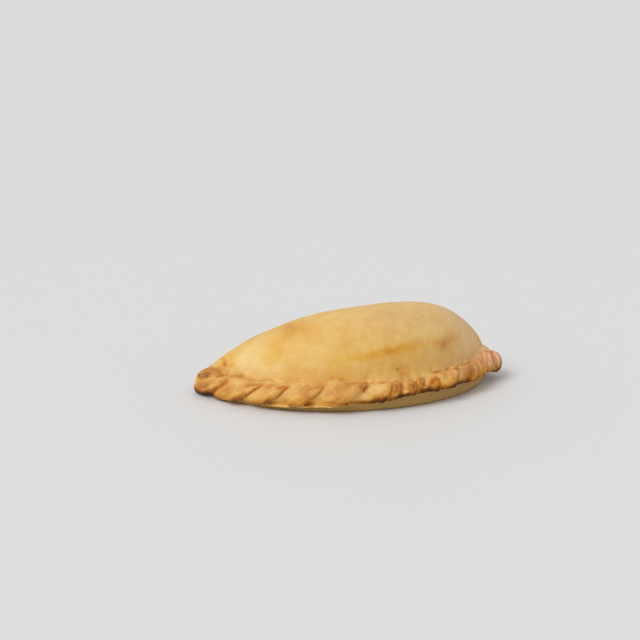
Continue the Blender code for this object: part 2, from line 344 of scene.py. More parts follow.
def rim_surface():
    """The pinched rim under the folds: a bar along the edge with a boxy oval section.

    Outwards it slopes down a little and ends in a fairly sharp lower edge, the cut edge of the two
    layers of dough.
    """
    unit, faces = ball(72, 240)
    place = RIM_START + (RIM_END - RIM_START) * (unit[:, 2] + 1.0) / 2
    turn = np.arctan2(unit[:, 0], unit[:, 1])
    size = end_rounding(unit[:, 2], RIM_BLUNTNESS)
    outer = RIM_OUTER_LEFT + (RIM_OUTER - RIM_OUTER_LEFT) * smooth_step(-15.0 * MM, 8.0 * MM, place)
    out, rise = np.cos(turn), np.sin(turn)
    across = signed_power(out, RIM_FULLNESS) * np.where(out > 0.0, outer, RIM_INNER)
    high = signed_power(rise, RIM_FULLNESS) * np.where(rise > 0.0, RIM_ABOVE, below_braid(place))
    high -= math.tan(RIM_SLOPE) * across * (rise > 0.0) * np.abs(rise)
    return beside_braid(place, across * size, high * size), faces


def lip_surface():
    """A thin torn edge of the lower sheet that hangs out under the folds on the left: a flat bar."""
    unit, faces = ball(24, 160)
    place = LIP_MIDDLE + unit[:, 2] * LIP_LENGTH / 2
    size = end_rounding(unit[:, 2], 4.0) / np.maximum(end_rounding(unit[:, 2], 2.0), POLE_WIDTH)
    ragged = 1.0 + 0.25 * soft_noise(place[:, None] * [1.0, 0.0, 0.0], 2.5 * MM)
    across = LIP_OUT + unit[:, 1] * LIP_WIDTH / 2 * size * ragged
    high = unit[:, 0] * LIP_THICKNESS / 2 * size - BRAID_BELOW - LIP_DROP
    return beside_braid(place, across, high), faces


def filler_surface():
    """Dough that carries the dome down to the short folds on the right: an oval bar inside them."""
    unit, faces = ball(40, 120)
    place = FILLER_MIDDLE + unit[:, 2] * FILLER_LENGTH / 2
    rise = unit[:, 0] * FILLER_HALF_HEIGHT
    across = FILLER_OUT + unit[:, 1] * FILLER_HALF_WIDTH - FILLER_LEAN * rise
    return beside_braid(place, across, FILLER_UP + rise), faces


def corner_surface(x, y, z, length, width, height):
    """The pinched corner where the fold and the edge meet: a ball with three radii, in mm."""
    unit, faces = ball(48, 32)
    return (np.array([x, y, z]) + unit * [length, width, height]) * MM, faces


rim = rim_surface()
lip = lip_surface()
filler = filler_surface()
corners = [corner_surface(*row) for row in CORNERS]
print("points of rim, lip, filler and corners:", sum(len(piece[0]) for piece in [rim, lip, filler] + corners))

# %% The folds
# Each row: middle along the edge (mm), length along it, full width, full thickness, the angles round
# the braid where it starts and ends (0 straight out, 90 up, 180 in), and how brown it is, 0 to 1.
FOLDS = (
    (-78, 15, 9, 8, 66, 118, 0.46),
    (-70, 11, 8, 4.6, 84, 130, 0.38),
    (-75.5, 22, 7.5, 6.6, -34, 66, 0.42),
    (-59.5, 31, 11.4, 4.8, -48, 106, 0.34),
    (-43.8, 24.5, 10.5, 5, -50, 112, 0.2),
    (-28, 25, 11.5, 5.2, -50, 114, 0.35),
    (-11, 26, 12, 5.4, -50, 112, 0.28),
    (6, 12, 9, 4, -50, 104, 0.3),
    (11, 7, 5.5, 3.8, -50, 104, 0.34),
    (15.2, 2.5, 3, 5, -60, 98, 0.72),
    (19.5, 6, 8.5, 3.4, -55, 88, 0.58),
    (25, 9, 3.6, 4.2, -45, 108, 0.55),
    (30.5, 8, 9.5, 3.6, -55, 94, 0.55),
    (40.5, 18, 11, 4.6, -50, 136, 0.42),
    (55, 18, 11, 5, -50, 130, 0.7),
    (66, 7, 5, 4.8, -52, 108, 0.45),
    (74.5, 6, 5, 5.4, -55, 128, 0.46),
    (77, 6, 4, 7.2, -55, 126, 0.36),
    (79.5, 6, 4, 8.2, -55, 120, 0.46),
    (84, 6, 4.4, 7, -66, 84, 0.56),
    (86.8, 6, 4, 5.4, -66, 68, 0.62),
)
FOLD_COIL_RADIUS = 4.0 * MM     # how far a fold's own middle line runs from the braid's
FOLD_ROLL = math.radians(20.0)  # a fold's leading edge is lifted over the next one
FOLD_TAPER = 0.15           # fuller where it starts, thinner where it runs into the dome
FOLD_BLUNTNESS = 2.6        # 2 is an ellipse's end, more is blunter
FOLD_FULL_SIDE = 0.18       # how much thicker a fold is on the side over the next one
FOLD_TUCKED_SIDE = 1.3      # and how much wider on the side tucked under the one before
CREASES_PER_FOLD = 5
CREASE_DEPTH = 0.9 * MM
CREASE_WIDTH, CREASE_BEND = math.radians(12.0), math.radians(14.0)
CREASE_ANGLES = (-75.0, 75.0)   # where round the section they may lie, 0 on its outer side
LOWER_EDGE_WAVE = 0.5 * MM


def fold_line(share, place, length, start, end):
    """Middle line of a fold at a share from 0 to 1, with its heading, its outward and its side way."""
    turn = np.radians(start + (end - start) * share)[:, None]
    centre, forward, outward, upward = along_edge((place + (share - 0.5) * length) * MM)
    radial = outward * np.cos(turn) + upward * np.sin(turn)
    winding = upward * np.cos(turn) - outward * np.sin(turn)
    turn_per_length = math.radians(end - start) / (length * MM)
    heading = forward + winding * (FOLD_COIL_RADIUS * turn_per_length)
    heading = heading / np.linalg.norm(heading, axis=1, keepdims=True)
    leading = np.cross(heading, radial)
    wide = leading * math.cos(FOLD_ROLL) + radial * math.sin(FOLD_ROLL)
    thick = radial * math.cos(FOLD_ROLL) - leading * math.sin(FOLD_ROLL)
    return centre + radial * FOLD_COIL_RADIUS, heading, thick, wide


def bottom_line(points):
    """Height of the braid's lower edge at each point: the tray side of the folds is cut off there."""
    bearing = np.arctan2(points[:, 0], EDGE_CENTRE_Y - points[:, 1])
    wave = LOWER_EDGE_WAVE * soft_noise(bearing[:, None] * [BRAID_RADIUS, 0.0, 0.0], 7.0 * MM)
    along = BRAID_RADIUS * bearing
    return braid_height(along) - below_braid(along) + wave


def fold_surface(number, place, length, width, thickness, start, end):
    """A ball drawn out along the fold's middle line, with an oval section and creases along it.

    A crease is a narrow hump of depth at one angle of the section, so it runs from end to end and
    meets its neighbours at the poles. Noise along the fold lets it come and go.
    """
    unit, faces = ball(96, 72)
    middle, _, thick, wide = fold_line((unit[:, 2] + 1.0) / 2, place, length, start, end)
    draw = np.random.default_rng(100 + number)
    along_noise = soft_noise(unit * [0.4, 0.4, 1.0] + 10.0 * number, 0.35)
    section = np.arctan2(unit[:, 1], unit[:, 0])
    crease = np.zeros(len(unit))
    for angle in np.radians(draw.uniform(*CREASE_ANGLES, CREASES_PER_FOLD)):
        bend = CREASE_BEND * np.sin(unit[:, 2] * draw.uniform(1.0, 2.5) + draw.uniform(0.0, 6.0))
        strength = draw.uniform(0.4, 1.0) * smooth_step(-0.5, 0.3, along_noise)
        crease += strength * hump(section, angle + bend, CREASE_WIDTH)

    size = end_rounding(unit[:, 2], FOLD_BLUNTNESS)
    size = size / np.maximum(end_rounding(unit[:, 2], 2.0), POLE_WIDTH)
    size = size * (1.0 - FOLD_TAPER * unit[:, 2]) * (1.0 + 0.05 * along_noise)
    full = 1.0 + FOLD_FULL_SIDE * unit[:, 1]
    half_width = width * MM / 2 * np.where(unit[:, 1] > 0.0, 1.0, FOLD_TUCKED_SIDE)
    half_thickness = thickness * MM / 2
    lift = unit[:, 0] * full * half_thickness - CREASE_DEPTH * crease * np.abs(unit[:, 0])
    side = unit[:, 1] * half_width
    points = middle + thick * (lift * size)[:, None] + wide * (side * size)[:, None]
    points[:, 2] = np.maximum(points[:, 2], bottom_line(points))
    return points, faces


folds = [fold_surface(number, *row[:6]) for number, row in enumerate(FOLDS)]
print("folds:", len(folds), "with", sum(len(points) for points, _ in folds), "points")

# %% [markdown]
# ## Pressed together
#
# Raw dough sticks: where two pieces touch they become one, with a crease where they meet. A voxel
# remesh does the same. It fills the joined pieces with small cubes, forgets the walls inside, and
# draws one new skin round the whole. Before that, all that would sag below the tray is flattened
# onto it.

# %% One skin of dough
VOXEL = 0.42 * MM


def place_object(name, data):
    """A new object in the scene that shows the data."""
    thing = bpy.data.objects.new(name, data)
    bpy.context.scene.collection.objects.link(thing)
    return thing


def keep_modified(holder):
    """Gives the object the mesh that its modifiers make of its own, and takes them off."""
    graph = bpy.context.evaluated_depsgraph_get()
    mesh = bpy.data.meshes.new_from_object(holder.evaluated_get(graph))
    holder.modifiers.clear()
    holder.data = mesh
    return mesh


def fused_mesh(name, pieces):
    """All pieces in one mesh, flattened at Z = 0, then redrawn as one skin by a voxel remesh."""
    points = np.concatenate([piece[0] for piece in pieces]) - BASE_MIDDLE
    points[:, 2] = np.maximum(points[:, 2], 0.0)
    starts = np.cumsum([0] + [len(piece[0]) for piece in pieces[:-1]])
    faces = np.concatenate([piece[1] + start for piece, start in zip(pieces, starts)])
    raw = bpy.data.meshes.new(name)
    raw.from_pydata(points.tolist(), [], faces.tolist())
    holder = place_object(name, raw)
    press = holder.modifiers.new("press together", "REMESH")
    press.mode = "VOXEL"
    press.voxel_size = VOXEL
    keep_modified(holder)
    bpy.data.meshes.remove(raw)
    return holder


crust = fused_mesh("baked_crust", [body, sheet, rim, lip, filler] + corners + folds)
skin = crust.data
print("fused skin:", len(skin.vertices), "points,", len(skin.polygons), "faces")

# %% [markdown]
# ## Reading and moving the skin
#
# From here on the skin is a list of points that arrays can move. Two tools are enough: the mean of a
# point's neighbours, which relaxes the surface as resting dough relaxes, and the outward normal,
# along which relief is raised or pressed in.


# %% Points, neighbours and normals
def read(items, name, width, kind=float):
    """One property of every point, edge or normal of a mesh, as an array with a row for each."""
    values = np.empty(len(items) * width, dtype=kind)
    items.foreach_get(name, values)
    return values.reshape(-1, width)


def write_points(mesh, points):
    mesh.vertices.foreach_set("co", points.astype(np.float32).ravel())
    mesh.update()


edge_ends = read(skin.edges, "vertices", 2, np.int64)
edge_count = np.bincount(edge_ends.ravel(), minlength=len(skin.vertices))


def neighbour_mean(values):
    """For each point, the mean of the values at the other ends of its edges."""
    values = values.reshape(len(edge_count), -1)
    total = np.zeros_like(values)
    for near, far in (edge_ends.T, edge_ends.T[::-1]):
        for axis in range(values.shape[1]):
            total[:, axis] += np.bincount(near, values[far, axis], minlength=len(edge_count))
    return total / edge_count[:, None]


def relax(values, rounds, strength=0.5):
    """Moves each value part of the way to its neighbours' mean, again and again."""
    values = values.reshape(len(edge_count), -1)
    for _ in range(rounds):
        values = values + strength * (neighbour_mean(values) - values)
    return values


points = relax(read(skin.vertices, "co", 3), 3)
points[:, 2] = np.maximum(points[:, 2], 0.0)
write_points(skin, points)
print("most neighbours of a point:", edge_count.max())

# %% [markdown]
# ## Where on the crust
#
# Relief and browning follow the braid, so each point needs to know where it is along the edge, how
# far out from the braid's centre line, and which fold it belongs to. A fold's own section tells the
# last: the fold whose oval a point is deepest in, or nearest to, is its own.


# %% Edge and fold coordinates
SMALLEST_SECTION = 0.15     # near a fold's ends, its section counts as at least this share of its size
SLIDES = 3
FAR_OFF = 9.0               # stands for a point that lies off every fold


def edge_places(points):
    """Place along the braid, and distance out from its centre line, from a point's bearing."""
    x, y = (points + BASE_MIDDLE)[:, 0], (points + BASE_MIDDLE)[:, 1] - EDGE_CENTRE_Y
    return BRAID_RADIUS * np.arctan2(x, -y), np.hypot(x, y) - BRAID_RADIUS


def fold_places(points, row):
    """Share along one fold, the place across it, and how far off it a point is (1 on its skin).

    The share starts from the place along the edge. A few steps then slide it along the fold's
    heading until the point lies in the section there.
    """
    place, length, width, thickness, start, end, _ = row
    centred = points + BASE_MIDDLE
    share = (edge_places(points)[0] / MM - place) / length + 0.5
    reach = math.hypot(length * MM, math.radians(end - start) * FOLD_COIL_RADIUS)
    for _ in range(SLIDES):
        share = np.clip(share, 0.0, 1.0)
        middle, heading, thick, wide = fold_line(share, place, length, start, end)
        share = share + ((centred - middle) * heading).sum(axis=1) / reach
    share = np.clip(share, 0.0, 1.0)
    middle, heading, thick, wide = fold_line(share, place, length, start, end)
    offset = centred - middle
    from_middle = 2.0 * share - 1.0
    size = end_rounding(from_middle, FOLD_BLUNTNESS) * (1.0 - FOLD_TAPER * from_middle)
    size = np.maximum(size, SMALLEST_SECTION)
    across = (offset * wide).sum(axis=1) / (width * MM / 2) / size
    across = np.where(across > 0.0, across, across / FOLD_TUCKED_SIDE)
    through = (offset * thick).sum(axis=1) / (thickness * MM / 2) / size
    past_end = (offset * heading).sum(axis=1) / (thickness * MM / 2)
    return share, across, np.sqrt(across**2 + through**2 + past_end**2)


def nearest_folds(points):
    """For each point: how far off its fold and the next one it is, its fold, and its place on it."""
    nearest = np.full(len(points), FAR_OFF)
    second, own_share, own_across = nearest, 0.0 * nearest, 0.0 * nearest
    own = np.zeros(len(points), dtype=int)
    for number, row in enumerate(FOLDS):
        share, across, off = fold_places(points, row)
        closer = off < nearest
        second = np.where(closer, nearest, np.minimum(second, off))
        nearest = np.minimum(nearest, off)
        own_share = np.where(closer, share, own_share)
        own_across = np.where(closer, across, own_across)
        own = np.where(closer, number, own)
    return nearest, second, own, own_share, own_across


edge_along, edge_out = edge_places(points)
along, out, up = edge_along / MM, edge_out / MM, points[:, 2] / MM
nearest, second, fold_number, fold_share, fold_across = nearest_folds(points)
fold_lengths, fold_widths, fold_brown = np.array(FOLDS)[fold_number][:, [1, 2, 6]].T
print("points on each fold:", np.bincount(fold_number[nearest < 1.1]))

# %% [markdown]
# Soft masks from 0 to 1 now say what a place is: a fold, the pinched rim, the end of a fold that is
# pressed onto the dome, or a crease. From here on, places along the edge, out from the braid and up
# are in plain millimetres, and turns round the braid in degrees, 0 straight out and 90 up.

# %% Masks for the braid
DOME_SIDE, SHARP_PLACES = (62, 88), (24, 30)    # where folds end more sharply: round the braid, along it
FADE_END, FADE_START = 1.34, 1.1                # a fold's look fades this far off it
SHARPER_END, SHARPER_START = 0.3, 0.12          # and this much nearer where it ends sharply
PRESSED_SHARE = (0.62, 0.88)                    # from here on a fold's end is pressed onto the dome

above_edge = (points[:, 2] - bottom_line(points + BASE_MIDDLE)) / MM
round_braid = np.degrees(np.arctan2(points[:, 2] - braid_height(edge_along), edge_out))
sharp = smooth_step(*DOME_SIDE, round_braid) * smooth_step(*SHARP_PLACES, along)
on_folds = smooth_step(FADE_END - SHARPER_END * sharp, FADE_START - SHARPER_START * sharp, nearest)
on_rim = smooth_step(0.5, 2.5, out) * smooth_step(3, 2, above_edge)
on_braid = np.maximum(on_folds, on_rim) * smooth_step(-0.9, -0.3, above_edge)
off_braid = 1.0 - on_braid
inner_side = smooth_step(-0.5, -3, out) * (up > 4)
tail = smooth_step(*PRESSED_SHARE, fold_share) * inner_side
print("share of the points on the braid:", round(float(on_braid.mean()), 2))

# %% Creases between the folds
# A crease reaches about a quarter of CREASE_REACH each way (mm), and a fold under 8 mm counts as 8 wide.
CREASE_REACH, THIN_FOLD = 3.3, 8
BY_WIDTH = ((3, 6, 9), (0.35, 0.6, 1))          # a fold's width, and how strong its creases are
CREASE_TOP, CREASE_FADE = 62, 25                # how far round they go, and half of their fade
HIGHER_TOP, LOWER_TOP = 70, 30                  # and how much further on the right, or less at the left tip

crease_top = CREASE_TOP + HIGHER_TOP * smooth_step(34, 42, along) - LOWER_TOP * smooth_step(-67, -72, along)
between_folds = smooth_step(CREASE_REACH / np.maximum(fold_widths, THIN_FOLD), 0.02, second - nearest)
between_folds *= on_braid * (1.0 - tail) * np.interp(fold_widths, *BY_WIDTH)
between_folds *= smooth_step(crease_top + CREASE_FADE, crease_top - CREASE_FADE, round_braid)
between_folds *= smooth_step(1.3, 1.05, nearest) * (1.0 - 0.4 * hump(along, -19, 6))
low_ends = smooth_step(8, -20, round_braid) * window(-58, -50, -18, -10, along)
between_folds *= 1.0 - 0.75 * low_ends
between_folds = np.clip(1.3 * relax(between_folds, 2)[:, 0], 0.0, 1.0)
# Painted shadow: a thin dark line just above the torn lip, also pressed in a little.
shaded_crevice_over_lip = on_braid * hump(above_edge, 1, 0.45) * (out > 1) * window(-21, -17, -8, -3, along)
print("points in the creases between folds:", int((between_folds > 0.5).sum()))

# %% [markdown]
# The inner ends of the folds are pressed onto the dome, so there the step between the two is rubbed
# nearly flat. The same relaxing does it, but only in a narrow strip along that line. On the right the
# baker left the step crisp, and rubbed the dome's foot behind it instead.

# %% Rubbing the folds into the dome
RUB_ROUNDS = 50
CRISP_PLACES = (4, 10, 34, 38)
RUBBED_FOOT_PLACES = (-8, 0, 38, 50)


def rub(points, where, rounds):
    """Relaxes the points, each in proportion to its share in where."""
    for _ in range(rounds):
        points = points + 0.5 * where[:, None] * (neighbour_mean(points) - points)
    return points


crisp = window(*CRISP_PLACES, along)
seam = (1.0 - 0.5 * crisp) * inner_side * window(0.88, 1, 1.4, 2.3, nearest)
dome_foot = smooth_step(1.12, 1.3, nearest) * smooth_step(-14, -9, out) * (up > 9)
dome_foot *= window(*RUBBED_FOOT_PLACES, along)
points = rub(points, np.maximum(seam, dome_foot), RUB_ROUNDS)
points = rub(points, dome_foot, RUB_ROUNDS)
write_points(skin, points)
print("points in the rubbed strip:", int((seam > 0.5).sum()))

# %% [markdown]
# ## Relief
#
# The dome isn't a smooth egg. A soft shoulder runs along its front where the dough rests on the
# filling, it has lumps, small blisters where steam lifted it, and puckers where each fold of the
# braid pulled at it. The wall under the braid shows thin layers, because the dough is laminated.

# %% What stands out and what sinks in
# The shoulder's line up the dome's front: X and Z (mm).
SHOULDER_HEIGHTS = ((-20, 21), (-7, 22.7), (7, 24.6), (17, 26.1), (38, 25.6), (50, 25.2))
# Each pucker: place along the edge (mm), lean (along per height), reach up the dome, depth, width.
PUCKERS = (
    (-77, 0.3, 12, 0.8, 0.9), (-74, 0.5, 13, 0.9, 1), (-70.5, 0.3, 14, 0.9, 0.9), (-67, 0.8, 9, 0.8, 1),
    (-63, 0.6, 7, 0.6, 1), (-52, 1.2, 5, 0.4, 1.1), (-36, 1, 4, 0.35, 1.2), (-18, 1, 4, 0.3, 1.2),
    (-1, 0.4, 7, 0.5, 1.3), (3.5, -0.3, 6, 0.4, 1), (8, -0.5, 9, 0.6, 0.9), (13.5, -0.1, 6, 0.35, 1.2),
    (18, 0.15, 10, 0.45, 1.1), (22.5, 0.1, 12, 0.3, 1.8), (27, 0.3, 8, 0.35, 1), (35, 0.2, 9, 0.4, 1.3),
    (49.5, 0.3, 8, 0.6, 1.4), (54, 0.2, 9, 0.35, 1.2), (70, 0.1, 9, 0.4, 1.4),
)
# Each groove in the right tip: how far right it is at 6 mm up (mm), lean per height, depth, width.
TIP_GROOVES = ((60.2, -0.05, 0.5, 0.6), (62.7, 0, 0.45, 0.55), (68, -0.33, 0.55, 0.55))
GROOVE_LEVEL = 6
TIP_ACROSS = np.array([0.985, -0.174, 0.0])     # the way right across the tip's front
# Each blister: X, Y and Z of its middle (mm), radius, height.
BLISTERS = (
    (-4.2, -19.7, 20.8, 1.3, 0.35), (-26, -12.5, 19.5, 2.5, 0.3), (-48.1, 3, 23.1, 3, 0.35),
    (38.5, -8.6, 23.8, 2, 0.3), (13, 2, 40.8, 3.5, 0.35), (-60, 12, 17, 1.8, 0.4),
    (-56.5, 7.5, 16, 1.6, 0.35), (28, -13, 24.5, 2.4, 0.25), (52, 4, 24, 2.2, 0.3),
)
# Each mark on the braid: X, Y and Z of its middle (mm), radius, how much browner, how far raised.
# The marks that are pressed in and browner are pits and short creases, and some low on the tips darken their
# undersides: browning and painted shade both.
BRAID_MARKS = (
    (-62.3, -0.4, 9.8, 1.3, 0.34, -0.5), (-3.2, -29, 12.5, 1.6, 0.36, -0.9),
    (46.3, -9.4, 13, 1.4, 0.42, -0.8), (13.9, -22, 11.9, 1.4, 0.3, 0.6),
    (43.5, -7.3, 13.4, 2.5, 0.14, 0.2), (-10.8, -25.2, 13.3, 3.5, 0.14, 0.2),
    (-6, -23, 13.2, 3, 0.1, 0.1), (6.7, -30.7, 6.9, 3, 0.26, 0), (2.2, -29.8, 6.4, 3, 0.24, 0),
    (-43.1, -16.5, 11.4, 3, 0.1, 0.2), (-46.8, -19.3, 5.8, 3, 0.16, 0), (-57.4, -5.2, 1.8, 3, 0.14, 0),
    (52, -10.2, 10.9, 3.2, 0.1, 0), (21.7, -26.3, 9.9, 2.2, 0.04, 0),
    (31.3, -21.4, 10.7, 1.6, 0.12, -0.4), (26.7, -24.8, 8.7, 2.5, 0.05, 0),
    (72.5, 11.3, 5.6, 2.5, 0.1, 0), (63.6, 1.2, 6.7, 2, 0.06, 0), (-73.3, 8.4, 6, 3.2, 0.22, 0),
    (-15.5, -28.5, 9, 4, 0.14, 0), (-48, -15, 9, 4, -0.12, 0), (-62, -5, 5.9, 3.5, 0.2, 0),
    (-72, 10.3, 7.9, 2.5, -0.1, 0.2), (-73.3, 11.1, 9.2, 3, -0.1, 0), (-70.2, 9.1, 9.7, 0.9, 0.1, -0.5),
    (-68.8, 9.6, 11.3, 0.9, 0.1, -0.6), (-67.2, 11.6, 12.4, 0.9, 0.1, -0.5),
    (-54, -6.5, 6.5, 2.8, -0.16, 0.1), (-6, -29.5, 9.5, 3, -0.12, 0), (48.5, -12.3, 10.8, 2.5, 0.1, 0),
    (54, -9.9, 9.7, 3, 0.09, 0), (59.6, -4.1, 8.6, 2.5, 0.05, 0), (63.9, 8.3, 14.6, 1.5, 0.2, -0.3),
    (-70.3, 4.3, 2.9, 1.2, 0.16, -0.3), (-68.6, 2.6, 4.3, 1.2, 0.2, -0.4),
    (-66.9, 1.2, 6.1, 1.2, 0.2, -0.5), (-64.6, 0.2, 7.3, 1.2, 0.2, -0.5),
    (-62.8, -0.1, 8.2, 1.2, 0.18, -0.4), (13.7, -22.1, 12.4, 1.1, 0.3, 0.4),
    (12.6, -26.8, 11.6, 1.1, 0.14, 0.3), (12.4, -28, 9.6, 1.1, 0.12, 0.3),
    (12.6, -29.1, 7.5, 1.1, 0.12, 0.3), (62, 13.5, 14.5, 4.5, -0.24, 0), (-71.6, 5.5, 6.5, 2.2, 0.1, 0),
    (-65.8, 2.1, 8.7, 1.8, -0.12, 0), (-54.1, -12.3, 8.8, 2.2, -0.12, 0),
    (66.4, 4.9, 13.5, 1.6, -0.14, 0),
)

print("puckers, blisters and marks:", len(PUCKERS), len(BLISTERS), len(BRAID_MARKS))

# %% Shoulder, puckers, grooves and round spots
up = points[:, 2] / MM
on_dome = off_braid * smooth_step(1, -2, out) * smooth_step(5, 9, up)
front_side = smooth_step(-30, -16, out)


def shoulder_mask(width):
    """A hump round the shoulder's line, faded out at both ends of it."""
    right = points[:, 0] / MM
    line = np.interp(right, *np.array(SHOULDER_HEIGHTS).T)
    return hump(up, line, width) * window(-18, -4, 44, 56, right) * front_side


def pucker_relief():
    """Each pucker is a narrow groove with a soft rise beside it, from the braid up the dome."""
    relief = np.zeros(len(points))
    rise = up - braid_height(edge_along) / MM
    wander = 0.5 * soft_noise(points, 4 * MM)
    for place, lean, reach, depth, width in PUCKERS:
        line = place + lean * rise + wander
        fade = smooth_step(reach + 4, 3, rise) * front_side
        relief -= depth * hump(along, line, width) * fade
        relief += 0.4 * depth * hump(along, line + 2.2 * width, 1.6 * width) * fade
    return relief


def tip_grooves():
    """Upright grooves that fan out over the right tip, as depth in mm."""
    right = points @ TIP_ACROSS / MM
    depth = np.zeros(len(points))
    for place, lean, deep, width in TIP_GROOVES:
        depth += deep * hump(right, place + lean * (up - GROOVE_LEVEL), width)
    return depth * smooth_step(60, 63, along) * smooth_step(3, 5, up)


def spots(rows, column=4):
    """Sum of round humps: a row has X, Y, Z and radius in mm, and the hump's strength in a column."""
    total = np.zeros(len(points))
    for row in rows:
        total += row[column] * hump(np.linalg.norm(points / MM - row[:3], axis=1), 0, row[3])
    return total


print("points on the dome's front:", int((on_dome * front_side > 0.5).sum()))

# %% The relief itself
# How strong each kind of relief is, in mm.
SHOULDER_RISE, LUMP_RISE, RIPPLE_RISE, WRINKLE_RISE = 0.7, 0.55, 0.16, 0.5
DOUGH_RISE, STREAK_RISE, GRAIN_RISE = 0.2, 0.24, 0.06
CREASE_SINK, LEFT_CREASE_SINK, OVER_LIP_SINK = 0.45, 0.25, 0.5
LAYER_RISE, WALL_RISE = 0.22, 0.15
LAYER_WAVE = 6.0                    # radians per mm up, so a layer is about 1 mm thick
FOLD_STREAK_SPACE = (5, 6, 40)      # how a fold's across, share and number stretch the streaks' noise

wall = off_braid * smooth_step(7.5, 5, up) * smooth_step(-18, -12, out)
wall *= smooth_step(0.3, -0.1, read(skin.vertex_normals, "vector", 3)[:, 2])
layers = np.sin(LAYER_WAVE * up + 2.0 * soft_noise(points, 9 * MM))
layers *= smooth_step(-0.3, 0.5, soft_noise(points, 6 * MM))
# Streaks run along each fold, and wrinkles lie on the dome's left end.
fold_space = np.stack([fold_across, fold_share, fold_number], axis=1) * FOLD_STREAK_SPACE
streaks = layered_noise(fold_space, 1.9, 2)
left_end = smooth_step(-56, -62, points[:, 0] / MM) * off_braid * smooth_step(6, 9, up)
wrinkles = layered_noise(points * [1.0, 0.5, 1.6], 2.6 * MM, 2)

relief = on_dome * (SHOULDER_RISE * shoulder_mask(5) + pucker_relief() + spots(BLISTERS))
relief += on_dome * LUMP_RISE * layered_noise(points, 26 * MM, 2)
relief += on_dome * RIPPLE_RISE * layered_noise(points, 7 * MM, 2)
relief += on_braid * (DOUGH_RISE * layered_noise(points, 5 * MM, 2) + STREAK_RISE * streaks)
relief += on_braid * (spots(BRAID_MARKS, 5) - tip_grooves())
relief -= (CREASE_SINK + LEFT_CREASE_SINK * smooth_step(-50, -60, along)) * between_folds
relief -= OVER_LIP_SINK * shaded_crevice_over_lip
relief += wall * (LAYER_RISE * layers + WALL_RISE * soft_noise(points, 2 * MM))
relief += GRAIN_RISE * layered_noise(points, 2.2 * MM, 2) + WRINKLE_RISE * left_end * wrinkles
relief *= smooth_step(0.3, 1.5, up)
points = points + read(skin.vertex_normals, "vector", 3) * (relief * MM)[:, None]
points[:, 2] = np.maximum(points[:, 2], 0.0)
write_points(skin, points)
print("relief, mm, from", round(float(relief.min()), 2), "to", round(float(relief.max()), 2))

# %% [markdown]
# ## How brown each place is
#
# An oven browns what stands out and what is thin: tips, rims, blisters, the tops of folds. It darkens
# what touched the tray, and juices that boil out along the seam caramelise in the creases. Light and
# shade are painted in here too. Creases, hollows, undersides and the wall under the braid are painted
# darker as shade, and a few places are painted paler as highlight or sheen. All of that is worked out
# here, point by point, and kept on the mesh as attributes between 0 and 1. The material reads them by
# name.

# %% Hollows and ridges
normals = read(skin.vertex_normals, "vector", 3)


def hollowness(rounds):
    """How far the relaxed surface lies outside the real one, in mm: above 0 in hollows."""
    return ((relax(points, rounds) - points) * normals).sum(axis=1) / MM


fine_hollow, broad_hollow = hollowness(6), hollowness(60)
standing_out = smooth_step(0.02, 0.6, -broad_hollow)
top_line = crisp * hump(nearest, 1.12, 0.09) * smooth_step(60, 80, round_braid)
# Painted shade: crease darkens the hollows, the creases between folds, the tip's grooves, the step atop the
# crisp folds and the crevice over the lip. The material mixes it with a caramelised colour, so it is partly
# caramelised juice and partly painted shade.
crease = 0.5 * smooth_step(0.03, 0.2, fine_hollow) + 0.3 * smooth_step(0.2, 1, broad_hollow)
crease *= (0.4 + 0.6 * on_braid) * (1.0 - 0.6 * tail * smooth_step(54, 48, along)) * (1.0 - 0.6 * low_ends)
crease += 0.9 * (between_folds + on_braid * tip_grooves()) + 0.7 * top_line + 0.8 * shaded_crevice_over_lip
crease = relax(np.clip(crease, 0.0, 1.0), 2)[:, 0]
print("crease points:", int((crease > 0.5).sum()))

# %% Browning of the dome
# Each spot on the dome: X, Y and Z of its middle (mm), radius, how much browner or paler.
# Most are the crust's own uneven bake. The pale spots low on the left are painted highlight, and the broad
# browner spots over the middle and under the shoulder on the right are painted shade where the dome turns
# from the light.
DOME_SPOTS = (
    (-30, 3.8, 33.6, 8, 0.19), (-52.9, 2.8, 17.5, 7, -0.2), (-42.7, -7.6, 17.3, 6, -0.16),
    (-45, 6, 28, 10, -0.06), (-57.5, 14.5, 17.5, 5, 0.06), (-63, 14, 13, 3, -0.01),
    (38.5, -7.5, 23.4, 3, 0.08), (-4.2, -19.7, 20.8, 1.5, -0.15), (18, 0, 40.5, 12, 0.05),
    (57, 5, 20, 10, -0.13), (63, 13, 15, 5, -0.12), (27, -14.5, 23, 6, -0.08), (17, -20.8, 13.6, 4, 0.15),
    (8, -22, 13.5, 3, 0.08), (51, 0, 28, 8, -0.06), (-8, -8.5, 34.5, 12, 0.05), (18, -8, 35, 12, 0.06),
    (-8, -18.5, 16, 9, -0.03), (15, -17.5, 15.5, 9, 0.04),
)
# Each burnt speck: X, Y and Z of its middle (mm), radius, strength.
SPECKS = ((15, -19.1, 17.2, 0.55, 1), (-29, -14.5, 21, 0.4, 1), (30, -14, 18.5, 0.45, 1))
DOME_BROWN, MOTTLE, GOLDEN_PATCHES = 0.33, 0.05, 0.55

# `up` still holds the heights before the relief here, so the masks lie on the shoulder's line.
right = points[:, 0] / MM
brown = DOME_BROWN + MOTTLE * (layered_noise(points, 22 * MM, 3) + layered_noise(points, 5 * MM, 2))
brown += spots(DOME_SPOTS) * off_braid
